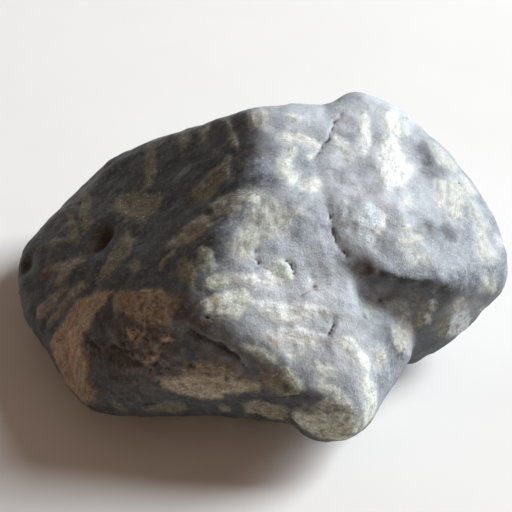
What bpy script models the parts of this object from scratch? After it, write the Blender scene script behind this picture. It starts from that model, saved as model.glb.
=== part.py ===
"""A palm-sized cobble of feldspar porphyry: a blunt block with a nose in front and a rounded lobe on its right.

Lengths are in millimetres until the mesh is finished. X runs right, Y away and Z up from the table.
"""

import bmesh
import bpy
import numpy as np
from mathutils import Matrix, Vector, noise

MM = 0.001

# A point inside every faceted body below. The stone's surface is measured outwards from it.
HEART = Vector((6.0, 4.0, 20.0))
EDGE_ON = 1e-6  # a direction that leans towards a face by less than this never reaches it

# The stone reads as three blunt faceted bodies grown into one. Each is given by its corners.
BLOCK = {
    "ridge top": (-1.0, 27.5, 46.0),
    "ridge bend": (-1.5, 8.5, 45.3),
    "ridge foot": (-13.5, -9.0, 38.8),
    "flank high": (5.5, 3.0, 44.0),
    "flank middle": (8.5, -2.8, 42.0),
    "flank low": (1.0, -13.2, 38.4),
    "apex": (-16.0, -23.0, 37.2),
    "front edge middle": (5.0, -31.5, 22.5),
    "front edge end": (14.0, -29.5, 17.0),
    "seam foot": (17.5, -9.5, 35.0),
    "seam middle": (14.0, 0.0, 40.0),
    "seam top": (14.5, 31.0, 45.5),
    "front foot right": (9.0, -30.5, 8.0),
    "front foot left": (-33.4, -28.0, 8.0),
    "left corner foot": (-39.6, -28.2, 9.4),
    "left corner": (-42.5, -16.6, 10.6),
    "left foot": (-46.4, -8.2, 11.4),
    "left end front": (-53.2, -4.7, 9.4),
    "left end low": (-57.5, 3.0, 8.5),
    "left end": (-59.5, 12.5, 9.5),
    "left end high": (-57.0, 18.0, 13.0),
    "back left low": (-50.5, 30.0, 13.0),
    "back left": (-41.0, 39.5, 17.5),
    "back left high": (-31.8, 39.2, 24.2),
    "back rim": (-19.0, 33.0, 34.5),
    "back bulge left": (-28.0, 40.5, 11.0),
    "back bulge": (-8.0, 39.5, 18.0),
    "back bulge right": (11.0, 38.0, 20.0),
    "sole front left": (-25.0, -16.0, -1.0),
    "sole front right": (8.0, -19.0, -1.0),
    "sole right": (15.0, -5.0, -1.0),
    "sole middle right": (16.0, 12.0, -0.8),
    "sole back": (-3.0, 23.0, -0.8),
    "sole back left": (-21.0, 20.0, -1.0),
}
NOSE = {
    "brow": (-6.0, -26.8, 30.8),
    "front edge middle": (5.0, -32.3, 22.8),
    "tip top": (19.5, -34.3, 16.9),
    "tip bottom": (18.1, -36.7, 9.6),
    "tip left": (9.5, -36.9, 8.8),
    "seam foot": (17.5, -9.5, 35.0),
    "crest bevel": (25.5, -18.4, 22.7),
    "shoulder": (30.5, -13.5, 19.0),
    "cheek": (33.5, -13.5, 12.0),
    "heel": (30.5, -9.5, 2.5),
    "right foot": (22.0, -17.5, 5.0),
    "root left": (4.0, -20.0, 4.0),
    "root back": (0.0, 14.0, 18.0),
    "root back right": (12.0, 12.0, 20.0),
    "root below": (12.0, 6.0, 0.5),
}
LOBE = {
    "lip start": (18.5, -9.5, 35.0),
    "lip left": (23.0, -12.0, 34.5),
    "lip middle": (29.0, -13.5, 33.0),
    "lip right": (37.0, -11.4, 31.1),
    "lip end": (42.0, -7.4, 28.6),
    "right end": (55.5, 3.0, 23.0),
    "right end low": (54.3, 0.8, 17.8),
    "right bevel": (50.0, -1.4, 12.4),
    "wall foot right": (45.0, -4.4, 8.1),
    "wall foot middle": (40.8, -7.2, 5.4),
    "wall foot left": (34.0, -9.5, 1.0),
    "summit": (21.0, 35.5, 46.5),
    "summit left": (17.5, 34.0, 46.0),
    "summit right": (25.5, 34.5, 45.5),
    "back rim": (32.0, 32.0, 43.5),
    "back shoulder": (41.6, 25.6, 38.5),
    "right shoulder": (45.5, 22.0, 34.5),
    "right rim": (51.0, 15.0, 29.0),
    "right rim low": (54.0, 9.5, 26.0),
    "seam top": (16.0, 26.0, 45.5),
    "seam bulge": (11.8, 15.0, 44.2),
    "seam foot": (12.3, -2.5, 40.1),
    "dome": (27.5, 3.5, 40.5),
    "sole": (30.0, 0.0, 0.0),
    "sole right": (34.0, 8.0, 2.0),
    "back low": (40.0, 18.0, 12.0),
    "back bulge": (22.0, 37.5, 14.0),
    "back bulge left": (4.0, 39.5, 17.0),
    "back foot": (6.0, 32.0, 3.0),
    "flank": (47.0, 19.0, 22.0),
    "root sole": (8.0, 4.0, -0.5),
    "root front": (-5.0, 0.0, 5.0),
    "root back": (-5.0, 12.0, 5.0),
    "root top": (-3.0, 5.0, 35.0),
}

# Weathering rounds every edge. Passes are over a mesh whose sides are about 0.8 mm.
BLANK_SUBDIVISIONS = 7
ROUNDING_PASSES = 26
ROUNDING_STEP = 0.5

# Edges that stayed crisp: a point on the edge, how far along it they do, and how much of the rounding they miss.
CRISP = {
    "front edge": ((12.0, -32.5, 19.5), 12.0, 0.7),
    "lip": ((31.0, -11.0, 33.0), 9.0, 0.7),
    "seam": ((14.0, 6.0, 42.0), 14.0, 0.4),
}

# Broad swells (height above 0) and dents (below 0): centre, reach, height.
SWELLS = {
    "recess under the lip": ((30.0, -9.5, 29.5), 7.0, -2.2),
    "recess by the seam": ((22.0, -8.0, 31.0), 4.0, -1.2),
    "recess beside the nose": ((24.5, -12.5, 28.0), 3.2, -1.3),
    "hollow under the front": ((-14.0, -27.5, 3.0), 14.0, -1.4),
    "swell of the nose": ((15.0, -20.0, 26.5), 10.0, 0.8),
    "lump above the seam foot": ((1.5, -8.0, 39.0), 4.5, 0.7),
    "swell beside the seam": ((21.0, 0.0, 41.0), 5.0, 0.6),
    "pit high on the front": ((-18.5, -23.0, 29.0), 2.0, -0.9),
    "pit in the brown patch": ((-27.0, -22.3, 22.8), 2.4, -1.0),
    "pit beside it": ((-20.0, -24.4, 24.4), 2.2, -0.9),
    "pit at the left end": ((-52.5, 10.5, 14.5), 2.2, -1.0),
    "pit on the nose": ((10.0, -12.5, 34.5), 2.0, -0.6),
    "pit on the lobe": ((35.5, 12.0, 38.0), 4.0, -0.6),
    "chip behind the lobe": ((36.0, 28.0, 36.0), 5.0, -1.3),
    "hollow under the lobe": ((44.0, 12.0, 8.0), 9.0, -1.6),
    "hollow behind": ((-6.0, 38.0, 27.0), 8.0, -1.4),
    "swell low behind": ((-14.0, 38.0, 9.0), 8.0, 1.2),
    "chip at the left end": ((-46.0, 24.0, 8.0), 6.0, -1.2),
}

# Grooves (depth above 0) and rims (below 0) along a line: half width, depth, points of the line.
GROOVES = {
    "upper crack of the seam": (
        1.5, 0.3, ((17.5, 31.5, 44.5), (16.5, 24.0, 45.0), (14.5, 19.5, 44.5), (12.5, 16.0, 44.0), (9.5, 12.5, 43.5)),
    ),
    "lower crack of the seam": (
        1.5, 0.35, ((12.5, 8.5, 42.5), (13.5, 0.5, 41.0), (14.5, -4.5, 38.5), (17.0, -8.0, 36.0), (22.0, -10.5, 32.5)),
    ),
    "groove over the front": (
        1.2,
        1.0,
        ((-19.0, -23.3, 31.8), (-11.5, -25.5, 28.5), (-7.5, -26.6, 27.6), (-5.0, -27.8, 25.3), (-3.0, -30.5, 22.0)),
    ),
    "rim below the groove": (1.5, -0.4, ((-14.0, -26.5, 27.0), (-7.5, -28.6, 25.1), (-4.5, -31.2, 20.7))),
    "fold along the front foot": (1.5, 0.8, ((-6.0, -32.0, 15.0), (6.5, -33.6, 19.0), (14.0, -33.5, 18.0))),
    "hollow across the lobe": (4.5, 0.7, ((26.0, -5.0, 38.0), (36.0, 1.5, 34.5), (47.0, 9.0, 30.0))),
    "oval pit on the left": (2.0, 1.5, ((-33.0, 9.5, 27.5), (-34.5, 6.5, 26.0), (-36.0, 3.5, 25.0))),
    "seam behind": (1.4, 1.0, ((16.5, 30.0, 45.0), (12.0, 36.5, 35.0), (9.0, 38.5, 26.0), (8.0, 38.0, 14.0))),
    "crack behind": (1.1, 1.1, ((-26.0, 34.0, 29.0), (-18.0, 37.5, 21.0), (-15.0, 39.0, 11.0))),
    "ledge behind": (1.8, 1.1, ((-42.0, 31.0, 17.0), (-33.0, 36.5, 15.0), (-22.0, 38.5, 14.0))),
}
GROOVE_END = 0.3  # the share of its length over which a groove fades out at each end

# Weathered lumps all over: size of a lump and how far it stands out.
LUMPS = ((22.0, 0.7), (9.0, 0.3), (4.5, 0.16))

TRIANGLES = 9600
CUTTER_SIZE = (160.0, 120.0, 20.0)
STONE_COLOUR = (0.16, 0.17, 0.19, 1.0)
STONE_ROUGHNESS = 0.6


def faceted_body(name, corners, collection):
    """The convex body with these corners, kept as a guide that isn't rendered."""
    shape = bmesh.new()
    for corner in corners.values():
        shape.verts.new(corner)
    made = bmesh.ops.convex_hull(shape, input=shape.verts)
    bmesh.ops.delete(shape, geom=made["geom_interior"], context="VERTS")
    bmesh.ops.recalc_face_normals(shape, faces=shape.faces)
    mesh = bpy.data.meshes.new(name)
    shape.to_mesh(mesh)
    shape.free()
    guide = bpy.data.objects.new(name, mesh)
    guide.display_type = "WIRE"
    guide.hide_render = True
    collection.objects.link(guide)
    return guide


def round_blank(name):
    shape = bmesh.new()
    bmesh.ops.create_icosphere(shape, subdivisions=BLANK_SUBDIVISIONS, radius=1.0)
    mesh = bpy.data.meshes.new(name)
    shape.to_mesh(mesh)
    shape.free()
    return mesh


def points_of(mesh):
    points = np.empty(len(mesh.vertices) * 3)
    mesh.vertices.foreach_get("co", points)
    return points.reshape(-1, 3)


def edges_of(mesh):
    edges = np.empty(len(mesh.edges) * 2, np.int64)
    mesh.edges.foreach_get("vertices", edges)
    return edges.reshape(-1, 2)


def reach_to(body, directions):
    """How far the heart is from a convex body's surface in each direction."""
    faces = body.data.polygons
    outward = np.array([face.normal for face in faces])
    apart = np.array([(face.center - HEART).dot(face.normal) for face in faces])
    facing = directions @ outward.T
    ahead = facing > EDGE_ON
    return np.where(ahead, apart / np.where(ahead, facing, 1.0), np.inf).min(axis=1)


def falloff(points, centre, reach):
    apart = np.linalg.norm(points - centre, axis=1)
    return np.exp(-((apart / reach) ** 2))


def rounded(points, edges):
    """Every point moved towards the middle of its neighbours, less so by the crisp edges."""
    ends = np.concatenate([edges, edges[:, ::-1]])
    count = np.bincount(ends[:, 0], minlength=len(points))[:, None]
    kept = np.zeros(len(points))
    for centre, reach, share in CRISP.values():
        kept = np.maximum(kept, share * falloff(points, centre, reach))
    step = ROUNDING_STEP * (1.0 - kept)[:, None]
    for _ in range(ROUNDING_PASSES):
        sums = [np.bincount(ends[:, 0], points[ends[:, 1], axis], len(points)) for axis in range(3)]
        points = points + step * (np.stack(sums, 1) / count - points)
    return points


def normals_of(mesh, points):
    mesh.vertices.foreach_set("co", points.ravel())
    mesh.update()
    normals = np.empty(len(points) * 3)
    mesh.vertices.foreach_get("normal", normals)
    return normals.reshape(-1, 3)


def swell_heights(points):
    height = np.zeros(len(points))
    for centre, reach, rise in SWELLS.values():
        height += rise * falloff(points, centre, reach)
    return height


def groove_height(points, half_width, depth, line):
    """The height of one groove at each point: deepest on its line and shallower towards its ends."""
    line = np.array(line)
    lengths = np.linalg.norm(np.diff(line, axis=0), axis=1)
    behind = np.concatenate([[0.0], np.cumsum(lengths)])
    nearest = np.full(len(points), np.inf)
    travelled = np.zeros(len(points))
    for start, end, length, before in zip(line[:-1], line[1:], lengths, behind[:-1]):
        along = (end - start) / length
        reached = np.clip((points - start) @ along, 0.0, length)
        apart = np.linalg.norm(points - start - reached[:, None] * along, axis=1)
        closer = apart < nearest
        nearest[closer] = apart[closer]
        travelled[closer] = before + reached[closer]
    share = travelled / behind[-1]
    fade = np.clip(np.minimum(share, 1.0 - share) / GROOVE_END, 0.0, 1.0)
    return -depth * np.sqrt(fade) * np.exp(-((nearest / half_width) ** 2))


def groove_heights(points):
    return sum(groove_height(points, *groove) for groove in GROOVES.values())


def lump_heights(points):
    height = np.zeros(len(points))
    for size, rise in LUMPS:
        height += rise * np.array([noise.noise(Vector(point) / size) for point in points])
    return height


def stone_material():
    material = bpy.data.materials.new("porphyry")
    material.use_nodes = True
    shader = material.node_tree.nodes["Principled BSDF"]
    shader.inputs["Base Color"].default_value = STONE_COLOUR
    shader.inputs["Roughness"].default_value = STONE_ROUGHNESS
    return material


def table_cutter(collection):
    """A block whose top is the table, to cut the resting spot flat."""
    shape = bmesh.new()
    bmesh.ops.create_cube(shape, size=1.0)
    bmesh.ops.scale(shape, vec=CUTTER_SIZE, verts=shape.verts)
    bmesh.ops.translate(shape, vec=(0.0, 0.0, -CUTTER_SIZE[2] / 2), verts=shape.verts)
    mesh = bpy.data.meshes.new("table cutter")
    shape.to_mesh(mesh)
    shape.free()
    cutter = bpy.data.objects.new("table cutter", mesh)
    cutter.display_type = "WIRE"
    cutter.hide_render = True
    collection.objects.link(cutter)
    return cutter


def settle(stone, others):
    """Moves everything so that the stone stands on the origin, in metres."""
    graph = bpy.context.evaluated_depsgraph_get()
    points = points_of(stone.evaluated_get(graph).data)
    middle = (points.min(axis=0) + points.max(axis=0)) / 2
    move = Matrix.Scale(MM, 4) @ Matrix.Translation((-middle[0], -middle[1], 0.0))
    for thing in (stone, *others):
        thing.data.transform(move)


def main():
    for old in list(bpy.data.objects):
        bpy.data.objects.remove(old)
    whole = bpy.data.collections.new("chinese writing stone")
    guides = bpy.data.collections.new("guides and cutters")
    for collection in (whole, guides):
        bpy.context.scene.collection.children.link(collection)
    guides.hide_render = True
    bodies = [
        faceted_body(name, corners, guides)
        for name, corners in (("block", BLOCK), ("nose", NOSE), ("lobe", LOBE))
    ]

    mesh = round_blank("stone")
    directions = points_of(mesh)
    reach = np.max([reach_to(body, directions) for body in bodies], axis=0)
    points = rounded(np.array(HEART) + directions * reach[:, None], edges_of(mesh))
    rise = swell_heights(points) + groove_heights(points) + lump_heights(points)
    points = points + normals_of(mesh, points) * rise[:, None]
    mesh.vertices.foreach_set("co", points.ravel())
    mesh.update()
    mesh.shade_smooth()
    mesh.materials.append(stone_material())
    stone = bpy.data.objects.new("stone", mesh)
    whole.objects.link(stone)

    fewer = stone.modifiers.new("fewer faces", "DECIMATE")
    fewer.ratio = TRIANGLES / len(mesh.polygons)
    flat = stone.modifiers.new("resting spot", "BOOLEAN")
    flat.object = table_cutter(guides)
    flat.operation = "DIFFERENCE"
    flat.solver = "EXACT"
    settle(stone, [flat.object, *bodies])


main()
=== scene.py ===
"""Dresses the porphyry cobble: a weathered dark matrix with pale feldspar laths, on a pale table.

Shapes are worked out in millimetres and turned into metres at the end. X runs right, Y away and Z up.
A picture place is a pixel x,y of the 512 pixel square view. It is cast onto the stone through the camera.
"""

import math
import random

import bmesh
import bpy
import numpy as np
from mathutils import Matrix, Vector, noise
from mathutils.bvhtree import BVHTree


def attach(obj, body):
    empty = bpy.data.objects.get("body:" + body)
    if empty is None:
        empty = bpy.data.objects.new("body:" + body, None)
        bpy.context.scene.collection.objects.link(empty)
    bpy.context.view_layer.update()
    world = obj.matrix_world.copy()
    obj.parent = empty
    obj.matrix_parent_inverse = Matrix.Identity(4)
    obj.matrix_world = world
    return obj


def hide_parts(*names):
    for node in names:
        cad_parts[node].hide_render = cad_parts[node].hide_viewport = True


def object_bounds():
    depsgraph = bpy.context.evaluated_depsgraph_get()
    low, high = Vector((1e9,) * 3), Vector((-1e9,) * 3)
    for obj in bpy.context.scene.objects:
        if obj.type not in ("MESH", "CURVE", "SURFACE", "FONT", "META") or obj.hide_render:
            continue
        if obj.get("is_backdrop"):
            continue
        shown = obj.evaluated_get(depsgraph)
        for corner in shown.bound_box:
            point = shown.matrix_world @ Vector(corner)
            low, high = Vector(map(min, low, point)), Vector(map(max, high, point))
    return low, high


MM = 0.001

# The camera looks down at 45 degrees from in front. Lengths in mm, and the focal length in pixels.
PICTURE = 512
AIM = Vector((-0.305, 0.492, 25.0))
ELEVATION = math.radians(45.0)
DISTANCE = 300.0
FOCAL = 1402.0
SENSOR = 36.0
TOWARD = Vector((0.0, -math.cos(ELEVATION), math.sin(ELEVATION)))
UP = Vector((0.0, math.sin(ELEVATION), math.cos(ELEVATION)))
RIGHT = Vector((1.0, 0.0, 0.0))
EYE = AIM + TOWARD * DISTANCE

# The fine copy of the stone: the size of its faces, how it is smoothed, and how near two points are one.
VOXEL = 0.56
SMOOTHING_PASSES = 7
SMOOTHING_SHARE = 0.5
WELD = 0.001

# What the crystals look like where fresh and where stained.
TINTS = {
    "white": (0.8, 0.83, 0.82),
    "cream": (0.74, 0.77, 0.72),
    "green": (0.55, 0.61, 0.54),
    "beige": (0.285, 0.27, 0.21),
    "olive": (0.185, 0.185, 0.13),
    "brown": (0.33, 0.25, 0.165),
    "orange": (0.46, 0.33, 0.21),
    "pink": (0.44, 0.38, 0.33),
    "fawn": (0.46, 0.35, 0.23),
    "sand": (0.46, 0.42, 0.31),
    "sage": (0.56, 0.6, 0.5),
    "ivory": (0.54, 0.55, 0.51),
    "pearl": (0.46, 0.47, 0.44),
    "frost": (0.6, 0.68, 0.73),
    "moss": (0.29, 0.31, 0.255),
    "dust": (0.33, 0.345, 0.315),
    "slate": (0.2, 0.22, 0.23),
    "ash": (0.35, 0.39, 0.365),
    "mint": (0.63, 0.67, 0.61),
    "umber": (0.27, 0.215, 0.14),
    "peach": (0.6, 0.44, 0.3),
}

# Crystals that show in the picture: tint and outline. Later ones lie over earlier ones.
CRYSTALS = {
    "cap": ("ivory", "249,113 262,108 267,112 266,118 268,127 260,128 251,126"),
    "arc": (
        "cream",
        "278,139 283,132 292,132 303,134 313,139 321,147 318,153 310,158 314,151 308,146 298,144 284,143",
    ),
    "hook": (
        "cream",
        "292,146 298,149 295,156 291,163 294,171 299,178 295,183 286,183 282,176 277,168 281,160 287,153",
    ),
    "bar under the hook": ("cream", "300,182 312,179 320,180 323,185 318,190 310,190 301,189"),
    "fleck by the rim": ("cream", "287,114 295,113 302,117 300,122 292,120"),
    "lath right of the crack": ("white", "359,111 367,112 370,125 372,140 366,156 360,154 358,140"),
    "lath beside the crack": ("white", "332,133 339,135 347,143 353,153 354,161 349,163 341,152 334,145"),
    "patch on the lobe": (
        "white",
        "380,146 388,132 397,137 402,150 404,163 412,167 409,176 401,184 393,190 386,188 378,176 377,160",
    ),
    "bleached rim": ("cream", "384,112 396,112 401,124 398,137 388,132 383,122"),
    "fleck on the rim": ("mint", "400,126 408,126 411,134 403,136"),
    "rim lath": ("pearl", "430,142 439,146 451,159 459,167 453,172 444,167 436,156"),
    "left bar on the lobe": ("ivory", "437,179 446,181 446,195 445,206 438,206 436,194"),
    "right bar on the lobe": ("pearl", "448,181 457,179 463,189 465,200 463,217 452,222 447,214 448,196"),
    "outer rim lath": ("ivory", "461,172 467,180 475,192 468,194 462,184"),
    "small square": ("ivory", "402,196 409,197 411,207 403,208"),
    "small square below": ("ivory", "400,222 409,223 412,230 405,233 400,230"),
    "green tablet": ("pearl", "401,238 412,234 422,236 422,242 414,247 403,248 399,243"),
    "pale dash": ("pearl", "406,250 416,249 420,253 411,256"),
    "pale dash below": ("mint", "410,257 425,256 429,261 414,263"),
    "streak at the right rim": ("pearl", "469,200 475,202 483,221 486,229 480,229 472,214"),
    "right patch": ("pearl", "477,219 486,222 486,238 492,247 496,258 484,262 478,250 475,233"),
    "right fleck": ("ivory", "497,236 504,238 506,245 499,246"),
    "dash under the rim": ("pearl", "484,275 492,279 493,290 485,291 481,283"),
    "low right tablet": ("frost", "455,312 466,309 471,316 468,326 460,333 449,337 443,333 448,323"),
    "low right fleck": ("pearl", "480,303 486,306 484,313 478,311"),
    "green by the low tablet": ("pearl", "454,299 464,298 467,306 458,312 450,313"),
    "wall fleck": ("green", "430,300 436,301 435,310 430,310"),
    "wall fleck below": ("green", "424,315 431,315 430,324 425,324"),
    "wall tablet": ("olive", "416,312 424,306 426,312 422,326 414,332 411,322"),
    "wall patch": ("ash", "390,303 402,300 410,306 410,316 400,321 391,315"),
    "lath in the recess": ("slate", "411,294 415,295 419,302 415,303"),
    "grey green patch": ("olive", "439,316 450,313 450,324 446,336 438,338 436,328"),
    "green cluster upper": (
        "pearl",
        "262,204 270,195 278,200 280,210 293,211 292,222 286,233 276,235 264,238 256,232 254,216 256,208",
    ),
    "green cluster lower": (
        "mint",
        "238,235 244,225 252,222 260,232 258,242 254,252 247,262 240,261 236,250 231,243",
    ),
    "green cluster left": ("mint", "248,211 256,207 258,222 250,226 247,218"),
    "brown ledge": (
        "dust",
        "209,203 222,196 234,191 249,190 262,189 264,198 255,205 242,205 236,213 222,216 213,216 212,209",
    ),
    "sparkle on the ledge": ("mint", "247,197 255,194 262,197 260,203 251,203"),
    "fleck right of the cluster": ("pearl", "293,208 301,207 302,214 295,216"),
    "tablet under the lump": ("green", "266,268 273,261 282,259 290,264 293,271 294,279 288,284 276,276"),
    "white under the lump": ("white", "261,275 268,271 284,277 288,283 281,288 271,288 263,284"),
    "short green lath": ("green", "206,284 208,278 216,276 226,276 229,281 226,286 212,288"),
    "white lath on the nose": ("white", "229,277 240,274 252,274 262,281 262,286 254,288 244,283 234,282"),
    "big cream": (
        "mint",
        "203,304 209,299 218,295 230,290 240,287 247,290 252,297 256,304 253,310 245,311 241,317 227,319 "
        "214,317 206,311",
    ),
    "long cream": (
        "white",
        "258,302 270,299 277,303 290,304 304,302 311,307 311,318 300,323 284,322 269,317 260,310",
    ),
    "lower white": (
        "white",
        "270,330 284,328 296,326 308,330 325,334 323,342 312,347 300,348 288,342 277,338",
    ),
    "tail of the long cream": ("white", "299,302 310,302 319,305 331,310 328,315 317,312 305,314"),
    "pink lath": ("pink", "264,335 271,333 279,339 282,347 278,350 271,344"),
    "glinting lath": ("green", "243,344 252,345 263,350 273,356 277,362 268,361 255,355 246,351"),
    "bright dash": ("cream", "286,350 297,353 303,352 302,356 292,357"),
    "stained eye": ("pearl", "309,284 315,282 320,285 319,291 313,292 309,289"),
    "curved lath": (
        "white",
        "333,340 342,335 350,338 358,346 365,354 370,364 371,372 364,371 356,363 347,352 339,345",
    ),
    "edge lath": ("pearl", "372,350 384,348 387,355 384,363 377,368 373,360"),
    "pale flank": (
        "mint",
        "361,376 367,371 373,382 376,398 373,415 367,429 361,431 363,415 364,400 360,388",
    ),
    "loop at the nose edge": ("pearl", "392,327 400,320 408,322 412,331 412,342 408,350 400,353 394,345"),
    "fawn spot": ("ash", "366,303 374,303 379,311 370,312"),
    "beige twig": ("mint", "310,360 316,358 321,364 329,365 341,370 338,375 328,372 324,379 317,374"),
    "beige twig below": ("ivory", "315,383 321,376 325,383 334,386 345,393 346,401 336,397 322,391"),
    "slanting green": ("green", "282,368 288,367 295,375 303,387 298,393 290,388 284,380"),
    "stained hollow": ("olive", "258,368 268,367 278,374 284,382 293,389 297,395 284,396 272,391 262,383"),
    "tip": (
        "sage",
        "290,411 300,410 310,413 320,409 328,413 337,411 347,414 356,421 364,426 360,433 350,438 337,440 "
        "322,437 309,431 297,423",
    ),
    "tip top": (
        "pearl",
        "304,405 312,407 321,402 328,397 333,391 342,391 348,398 354,407 359,417 352,416 344,410 336,407 "
        "328,410 318,406 310,410",
    ),
    "fleck by the front bar": ("beige", "219,406 229,406 231,411 222,412"),
    "low front bar": ("beige", "243,404 255,401 268,404 284,406 290,412 284,419 270,419 260,414 246,414"),
    "long front tablet": (
        "sand",
        "157,381 162,377 178,377 184,373 204,374 222,376 240,378 250,379 260,384 257,390 240,392 226,394 "
        "222,399 206,399 188,396 172,391 161,386",
    ),
    "brown top of the tablet": (
        "umber",
        "182,372 185,366 203,362 218,362 232,367 244,374 236,377 214,374 196,374",
    ),
    "front foot lath": ("olive", "144,409 156,403 170,401 183,404 189,408 180,412 162,413"),
    "left front edge": ("olive", "112,398 119,402 128,411 121,413 115,408"),
    "brown wedge": (
        "brown",
        "113,293 124,291 138,291 148,288 160,289 171,295 179,297 180,305 175,314 173,324 160,326 144,325 "
        "133,320 122,312 113,310",
    ),
    "orange flank": (
        "fawn",
        "74,304 86,296 100,290 113,291 106,300 98,310 92,322 84,337 82,346 88,354 90,367 87,379 95,389 "
        "95,399 85,402 75,393 66,383 58,366 51,345 54,332 64,320",
    ),
    "peach streak": ("peach", "67,334 75,327 80,343 80,360 74,374 69,358 66,345"),
    "outer streak": ("beige", "64,286 69,290 60,301 50,311 43,319 37,316 38,307 47,299"),
    "inner streak": ("beige", "77,283 86,280 87,286 76,297 66,307 55,320 48,328 46,321 60,304"),
    "left tablet": ("beige", "45,270 56,263 70,260 83,257 84,262 74,268 66,278 62,286 56,284 60,272"),
    "dim lath": ("olive", "81,192 88,191 91,200 90,212 94,222 89,231 83,230 80,217"),
    "dim lath beside": ("olive", "66,211 72,213 77,225 78,236 71,240 67,230"),
    "dim foot": ("olive", "55,238 66,236 80,238 78,243 64,244 50,250 46,246"),
    "bar by the pit": (
        "olive",
        "127,232 132,235 133,246 128,257 118,266 108,277 100,286 96,280 104,264 113,247",
    ),
    "small olive": ("olive", "129,262 134,257 140,262 140,268 135,272 130,270"),
    "left beige": (
        "olive",
        "115,198 124,194 140,193 152,194 160,192 163,198 159,208 152,216 140,222 132,220 118,217 112,208",
    ),
    "rim bar": ("olive", "144,150 149,144 157,143 156,155 157,172 155,181 149,189 144,192 146,176"),
    "rim notch": ("olive", "180,131 191,128 190,137 186,150 181,152 180,142"),
    "rim tablet": ("moss", "199,127 210,122 208,133 206,142 200,141"),
    "grey arc": ("ash", "222,118 229,120 233,131 238,140 239,149 233,147 229,138 229,128"),
    "twin bar": ("olive", "230,154 235,158 226,167 216,175 207,180 202,181 209,172 219,164"),
    "twin bar below": (
        "olive",
        "230,165 232,174 222,184 213,193 208,200 200,201 192,196 193,189 203,181 215,177",
    ),
    "haze by the seam": ("frost", "352,205 372,203 384,214 380,232 372,246 360,242 350,226"),
    "bleached slope": ("frost", "338,203 346,199 353,207 355,220 351,233 344,237 339,225"),
    "glint in the recess": ("pink", "361,270 370,268 379,270 378,273 368,272"),
    "thin lath on the lobe": ("white", "382,213 387,214 381,236 376,234"),
    "thin grey bar": ("slate", "173,182 176,177 184,169 190,164 190,168 183,176 177,182"),
    "stained bar": (
        "beige",
        "168,243 173,237 181,231 184,226 196,217 204,214 210,218 212,225 205,233 194,240 180,246 170,248",
    ),
    "glinting olive": ("moss", "196,250 203,246 210,249 214,258 216,267 211,273 205,271 198,263"),
    "brown olive": ("olive", "176,262 184,257 192,261 196,270 198,281 193,287 184,284 177,272"),
    "pink dash": ("beige", "160,264 165,257 173,251 175,255 167,261 162,268"),
    "fleck in the rough": ("peach", "126,330 134,330 143,334 140,339 133,340 127,335"),
    "fleck in the rough beside": ("orange", "160,336 168,334 173,338 169,342 162,340"),
    "fleck in the rough below": ("orange", "143,361 150,356 160,355 155,361 147,365"),
    "fleck in the rough middle": ("brown", "153,348 160,346 164,351 158,353"),
}
EDGE_RAGGED = ((2.6, 0.5), (1.1, 0.3))  # size and reach of the waver of a crystal's edge
CRACK_RAGGED = ((2.2, 0.55), (0.9, 0.25))
WAVER_SEED = 31
CRYSTAL_DEPTH = 4.0  # half a tablet's thickness
NO_CRYSTAL = -3.0  # how far outside a crystal a point counts as when none is near
NO_TINT = (0.4, 0.4, 0.34)

# Laths strewn over the faces that the picture doesn't show.
HIDDEN_SEED = 31
HIDDEN_LATHS = 900  # tries: one that lands in view or by another crystal is left out
HIDDEN_TINTS = ("ivory", "green", "beige", "olive", "pearl", "dust", "moss", "mint")
HIDDEN_LENGTHS = (1.5, 6.5)  # half a lath's length, from the shortest to the longest
HIDDEN_SLIMNESS = (0.16, 0.4)  # half its width as a share of that, before the least width is added
HIDDEN_LEAST_WIDTH = 0.4
HIDDEN_LEAN = 0.25  # how far its ends are cut askew, as a share of half its length
HIDDEN_SHADES = (0.8, 1.1)  # what its tint is multiplied by
HIDDEN_DEPTH = 2.5
CLEAR_OF_OTHERS = -1.0
SEEN_FACING = (-0.02, 0.14)  # how far a face turns to the camera, from unseen to seen
SEEN_HEIGHT = (0.0, 1.0)  # how high it lies, likewise
KEPT_OUT_OF_VIEW = 3.5  # how much a hidden lath shrinks where the picture sees the stone

# Fine cracks, painted dark with dirt and shade: half width, depth, picture places.
CRACKS = {
    "seam upper": (0.34, 0.45, "341,112 338,119 334,123 331,132 327,140 322,148 316,155 310,159"),
    "seam lower": (0.37, 0.5, "328,206 331,217 333,230 336,242 341,249 346,254 346,262"),
    "beside the lump": (0.32, 0.5, "255,247 256,254 259,262 264,268"),
    "tablet edge": (0.32, 0.45, "284,260 290,263 293,269 294,277"),
    "short deep": (0.34, 0.7, "334,317 333,324 330,329 328,336"),
    "short fine": (0.28, 0.4, "362,315 367,320 373,325"),
    "over the front": (0.62, 1.0, "185,327 197,335 212,343 224,349 236,358 243,367 247,372"),
    "step on the tablet": (0.35, 0.4, "186,367 196,371 206,374 213,377"),
    "lip of the hollow": (0.34, 0.7, "203,317 210,318 216,320"),
    "rough one": (0.28, 0.5, "110,343 118,348 131,352 137,359"),
    "rough two": (0.24, 0.4, "110,355 118,359 125,361"),
    "rough three": (0.24, 0.4, "88,342 96,346 101,351 101,358"),
    "rough four": (0.24, 0.5, "149,349 157,351 164,354 169,358"),
    "rough five": (0.24, 0.4, "166,330 170,333 175,337"),
    "rough six": (0.24, 0.4, "184,363 191,366 200,368 211,369"),
    "rough seven": (0.24, 0.4, "150,362 166,366 174,371 183,371"),
    "dark line below": (0.32, 0.5, "268,398 284,398 300,397 318,399"),
    "rim groove": (0.28, 0.35, "457,179 462,186 467,194"),
    "foot line": (0.4, 0.4, "138,408 148,405 160,403"),
    "small mark": (0.25, 0.3, "389,345 391,353"),
    "mark on the nose": (0.24, 0.3, "298,298 304,296 308,293"),
}
CRACK_FAR = 3.0  # half widths from a crack at which it no longer matters
CRACK_SEARCH = 20.0  # how far from its middle a crack is looked for
CRACK_ENDS = 0.2  # share of a crack's length over which each end runs out

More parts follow.
